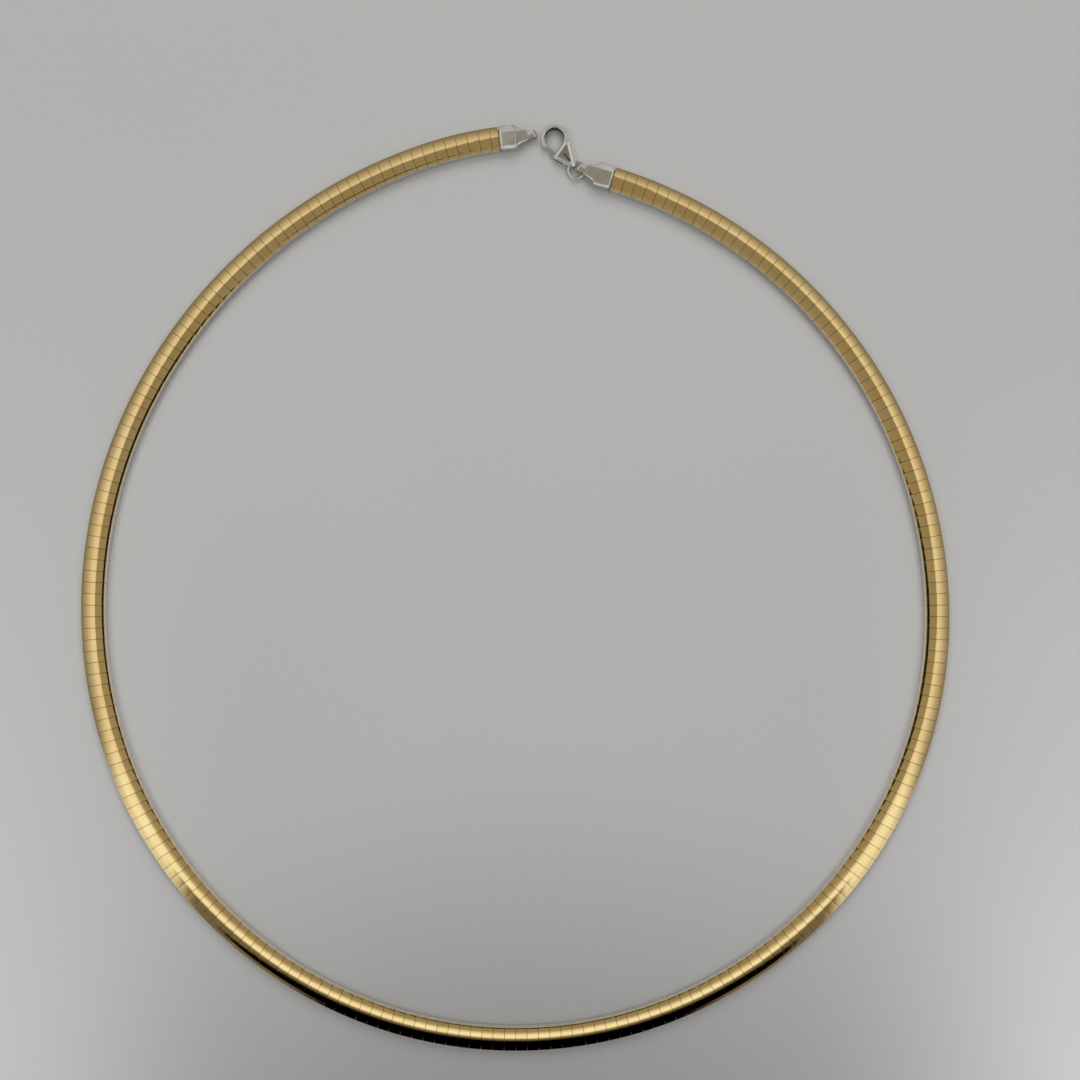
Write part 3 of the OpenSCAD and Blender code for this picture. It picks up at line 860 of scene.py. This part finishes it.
def glow_finish(name, glow_of, bright):
    """A panel that only shines. glow_of gets the Finish and returns the colour and the share of bright."""
    f = Finish(name)
    colour, share = glow_of(f)
    glow = f.node("ShaderNodeEmission", {"Color": colour, "Strength": share * bright})
    f.feed(f.tree.nodes["Material Output"].inputs["Surface"], glow)
    f.material.cycles.emission_sampling = "NONE"
    return f.material


def ceiling_glow(f):
    """Brightness over the ceiling: a bright field that falls off outwards, a middling patch of joined circles over
    the necklace, a ramp up to the bright front, and a black fan beyond it inside a wider brown one.

    Lengths are in millimetres, and turn is the angle from the front, seen from under the camera."""
    x, y, _ = f.place_mm()
    side = abs(x)
    field = 150.0 / f.math("MAXIMUM", f.length(x, y - 8.0), 146.0) * f.fit(y, 60.0, 170.0, 1.0, 0.88)
    patch, *more = (f.length(x - at_x, y - at_y) + less for at_x, at_y, less in PATCH_CIRCLES)
    for other in more:
        patch = f.math("MINIMUM", patch, other)
    inside = f.fit(patch, *PATCH_R, 1.0, 0.0)
    level = f.lerp(inside, field, f.fit(y, 30.0, -20.0, 0.36, 0.41))
    from_x, from_y = x - CAMERA_FOOT[0], y - CAMERA_FOOT[1]
    far_off = f.length(from_x, from_y)
    turn = abs(f.math("ARCTAN2", from_x, 0.0 - from_y) + 0.044)
    later = f.fit(x, 10.0, 60.0, 0.0, 13.0) * f.fit(x, 110.0, 80.0)
    front = f.fit(y + later, -28.0, -88.0) * f.fit(turn, 1.22, 0.98)
    level = f.lerp(front, level, f.fit(far_off, 180.0, 380.0, 1.28, 0.95))
    brown = f.fit(y - side * 0.12, -108.0, -140.0) * f.fit(turn, 0.84, 0.74)
    level = f.lerp(brown, level, 0.22)
    edge = y + f.math("MAXIMUM", side - 90.0, 0.0) * 0.6
    rim = f.fit(far_off, 365.0, 430.0) * f.fit(turn, 0.38, 0.52)
    black = f.fit(edge, -140.0, -170.0) * f.fit(turn, 0.69, 0.64) * (1.0 - rim)
    colour = f.mix(front, f.mix(inside, (1.0, 0.995, 0.98), (1.0, 0.93, 0.78)), (1.0, 1.08, 1.17))
    return f.mix(brown, colour, (1.0, 0.92, 0.8)), level * (1.0 - black)


def wall_glow(f):
    """The far walls: dim, and a little brighter higher up."""
    return (1.0, 0.97, 0.92, 1.0), f.fit(f.place_mm()[2], 0.0, CEILING, 0.30, 0.36, smooth=False)


def unlit_glow(f):
    """The dark ovals over the middle, and the dark front wall."""
    return (1.0, 0.9, 0.8, 1.0), 0.005


# Operators

class COLLAR_OT_plates(bpy.types.Operator):
    """Makes the polished plates of the band"""
    bl_idname = "collar.plates"
    bl_label = "Plates"

    def execute(self, context):
        sizes = context.scene.collar
        shape = plates_shape(sizes.plate_gap / MM, sizes.plate_crown / MM, sizes.plate_roll)
        metal = gold_finish(sizes.gold)
        place_piece("collar_plates", make_mesh("collar_plates", *shape), "necklace", "polished_gold", metal,
                    "band_plates")
        return {"FINISHED"}


class COLLAR_OT_core(bpy.types.Operator):
    """Makes the woven core inside the plates"""
    bl_idname = "collar.core"
    bl_label = "Woven core"

    def execute(self, context):
        mesh = make_mesh("collar_core", *core_shape())
        metal = weave_finish(context.scene.collar.gold_weave)
        place_piece("collar_core", mesh, "necklace", "woven_core", metal, "core_band")
        return {"FINISHED"}


class COLLAR_OT_caps(bpy.types.Operator):
    """Makes the two end caps with their necks and rolled eyes"""
    bl_idname = "collar.caps"
    bl_label = "End caps"

    def execute(self, context):
        sizes = context.scene.collar
        metal = white_finish(sizes.white_metal)
        (start, end), (heading, end_heading), _ = places([0.0, BAND_LEN])
        back = heading - math.pi - math.radians(CAP_TURN)
        ends = (("cap_left", "end_cap_left", start, back, FREE_LOOP_TURN, LEFT_CREST, 1),
                ("cap_right", "end_cap_right", end, end_heading, -RING_LOOP_TURN, RIGHT_CREST, -1))
        for name, node, place, turn, loop_turn, crest, outer_side in ends:
            loops = cap_shell(sizes.section_steps, crest) * (1, outer_side, 1)
            points, faces = joined(loft(loops), rolled_eye(loop_turn))
            mesh = make_mesh(name, moved(points, place, turn), faces, smooth=40)
            place_piece(name, mesh, "necklace", "white_metal", metal, node)
        return {"FINISHED"}


class COLLAR_OT_ring(bpy.types.Operator):
    """Makes the jump ring between the clasp and the right cap"""
    bl_idname = "collar.ring"
    bl_label = "Jump ring"

    def execute(self, context):
        mesh = make_mesh("ring", *ring_shape())
        # Painted shade on the inner side of the ring's wire.
        mark_painted_shade(mesh, ring_painted_shade)
        metal = cast_finish(context.scene.collar.white_cast)
        place_piece("ring", mesh, "necklace", "white_metal", metal, "jump_ring")
        return {"FINISHED"}


class COLLAR_OT_clasp(bpy.types.Operator):
    """Makes the clasp's body with its hook, and its pin"""
    bl_idname = "collar.clasp"
    bl_label = "Clasp body and pin"

    def execute(self, context):
        metal = cast_finish(context.scene.collar.white_cast)
        solid = combined("UNION", clasp_mesh("body", *body_block()), clasp_mesh("hook", *hook_sweep()))
        solid = combined("DIFFERENCE", solid, *[clasp_mesh("cut", *cut) for cut in body_cuts()])
        hook_at = [*hook_centre()[:2], 0.0]
        # Painted shade in the clasp's hollows and on the hook's inner wall.
        mark_painted_shade(solid, lambda at, facing: body_painted_shade(turned(at - hook_at, -CLASP_TURN), turned(facing, -CLASP_TURN)))
        place_piece("clasp_frame", solid, "necklace", "white_metal", metal, "clasp_body")
        pin = clasp_mesh("lever_pin", *pin_lathe())
        # Painted shade over the whole pin, which sits deep in its hole.
        mark_painted_shade(pin, lambda at, facing: np.full(len(at), PIN_PAINTED_SHADE))
        place_piece("lever_pin", pin, "necklace", "white_metal", metal, "clasp_pin")
        return {"FINISHED"}


class COLLAR_OT_lever(bpy.types.Operator):
    """Makes the clasp's sprung lever"""
    bl_idname = "collar.lever"
    bl_label = "Clasp lever"

    def execute(self, context):
        metal = cast_finish(context.scene.collar.white_cast)
        mesh = combined("DIFFERENCE", clasp_mesh("arm", *lever_sweep()), clasp_mesh("hole", *pin_hole()))
        # An even painted shade over the whole lever.
        mark_painted_shade(mesh, lambda at, facing: np.full(len(at), LEVER_PAINTED_SHADE))
        place_piece("gate_lever", mesh, "lever", "white_metal", metal, "clasp_lever")
        return {"FINISHED"}


class COLLAR_OT_stage(bpy.types.Operator):
    """Makes the table, the panels that the metal mirrors, the lights and the camera"""
    bl_idname = "collar.stage"
    bl_label = "Stage"

    def execute(self, context):
        scene, stage = context.scene, context.scene.collar_stage
        table = make_flat("table", square(TABLE_HALF, 0.0), table_finish(stage.floor))

        far = ROOM_HALF
        panels = {
            "panel_ceiling": (square(far, CEILING)[::-1], ceiling_glow),
            "panel_left": (upright((-far, -far), (-far, far)), wall_glow),
            "panel_right": (upright((far, far), (far, -far)), wall_glow),
            "panel_back": (upright((-far, far), (far, far)), wall_glow),
            "panel_front": (upright((far, -far), (-far, -far)), unlit_glow),
        }
        for number, shape in enumerate(DARK_SHAPES):
            panels["panel_dark_%d" % number] = (dark_oval(*shape), unlit_glow)
        for name, (corners, glow) in panels.items():
            panel = make_flat(name, corners, glow_finish(name, glow, stage.bright))
            panel.visible_camera = panel.visible_diffuse = panel.visible_shadow = False
            panel.visible_transmission = panel.visible_volume_scatter = False

        for name, power, size, place, tilt in (
                ("back_light", stage.back_light, 0.35, (0.02, 0.42, 0.36), (-50, 0, -2)),
                ("left_light", stage.side_light, 0.2, (-0.32, 0.0, 0.48), (0, -34, 0)),
                ("right_light", stage.side_light, 0.2, (0.32, 0.0, 0.48), (0, 34, 0))):
            light = bpy.data.lights.new(name, "AREA")
            light.energy, light.size, light.color = power, size, (1.0, 0.99, 0.97)
            lamp = linked(name, light)
            lamp.location = place
            lamp.rotation_euler = [math.radians(a) for a in tilt]
            lamp.visible_glossy = False

        world = bpy.data.worlds.new("pale_room")
        world.use_nodes = True
        background = world.node_tree.nodes["Background"].inputs
        background["Color"].default_value = (0.99, 0.995, 1.0, 1.0)
        background["Strength"].default_value = stage.ambient
        scene.world = world
        scene.view_settings.view_transform = "Standard"

        camera = bpy.data.cameras.new("camera")
        camera.lens, camera.sensor_width, camera.sensor_fit = stage.lens, 36.0, "HORIZONTAL"
        camera.clip_start, camera.clip_end = 0.01, 20.0
        scene.camera = linked("camera", camera)
        scene.camera.location = stage.camera_at
        return {"FINISHED"}


class COLLAR_PT_pieces(bpy.types.Panel):
    """Lists the collar's pieces and sizes"""
    bl_label = "Omega collar"
    bl_idname = "COLLAR_PT_pieces"
    bl_space_type = "VIEW_3D"
    bl_region_type = "UI"
    bl_category = "Collar"

    def draw(self, context):
        for sizes, kind in ((context.scene.collar, CollarSizes), (context.scene.collar_stage, StageSizes)):
            for name in kind.__annotations__:
                self.layout.prop(sizes, name)
        for operator in OPERATORS:
            self.layout.operator(operator.bl_idname)


OPERATORS = (COLLAR_OT_plates, COLLAR_OT_core, COLLAR_OT_caps, COLLAR_OT_ring, COLLAR_OT_clasp,
             COLLAR_OT_lever, COLLAR_OT_stage)
CLASSES = (CollarSizes, StageSizes, *OPERATORS, COLLAR_PT_pieces)


def register():
    for kind in CLASSES:
        bpy.utils.register_class(kind)
    bpy.types.Scene.collar = PointerProperty(type=CollarSizes)
    bpy.types.Scene.collar_stage = PointerProperty(type=StageSizes)


def unregister():
    del bpy.types.Scene.collar, bpy.types.Scene.collar_stage
    for kind in reversed(CLASSES):
        bpy.utils.unregister_class(kind)


def main():
    register()
    bpy.ops.collar.stage()
    bpy.ops.collar.plates()
    bpy.ops.collar.core()
    bpy.ops.collar.caps()
    bpy.ops.collar.ring()
    bpy.ops.collar.clasp()
    bpy.ops.collar.lever()


if __name__ == "__main__":
    main()
